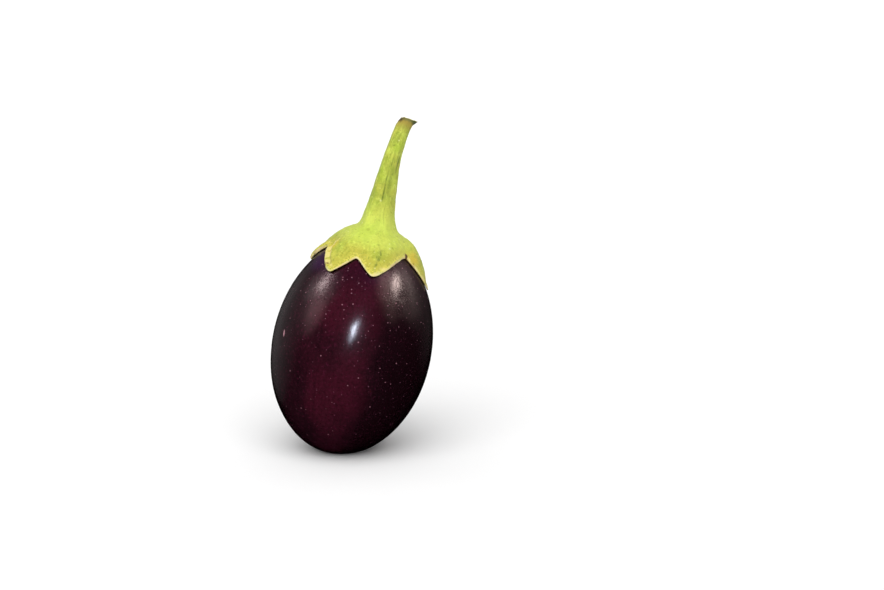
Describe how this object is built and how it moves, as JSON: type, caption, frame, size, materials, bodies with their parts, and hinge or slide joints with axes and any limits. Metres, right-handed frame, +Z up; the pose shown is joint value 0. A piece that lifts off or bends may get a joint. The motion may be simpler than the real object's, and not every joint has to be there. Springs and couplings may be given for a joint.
{
  "type": "indian eggplant",
  "caption": "Small oval Indian eggplant with glossy dark purple skin, a pointed green calyx and a cut stem, resting on a small flat spot.",
  "frame": {"origin": "centre of the small flat spot at the blossom end, which the fruit rests on", "axes": "+Z up, towards the stem; +X towards the side the fruit leans to; -Y towards the side with the broadest sepal"},
  "size_m": [0.0532, 0.0518, 0.1101],
  "materials": {
    "skin": "waxy dark purple fruit skin, glossy, lighter and redder in light",
    "calyx": "fleshy yellow-green leaf tissue with a fine down"
  },
  "bodies": {
    "root": {"fruit": "skin", "calyx_and_stem": "calyx"}
  },
  "joints": []
}
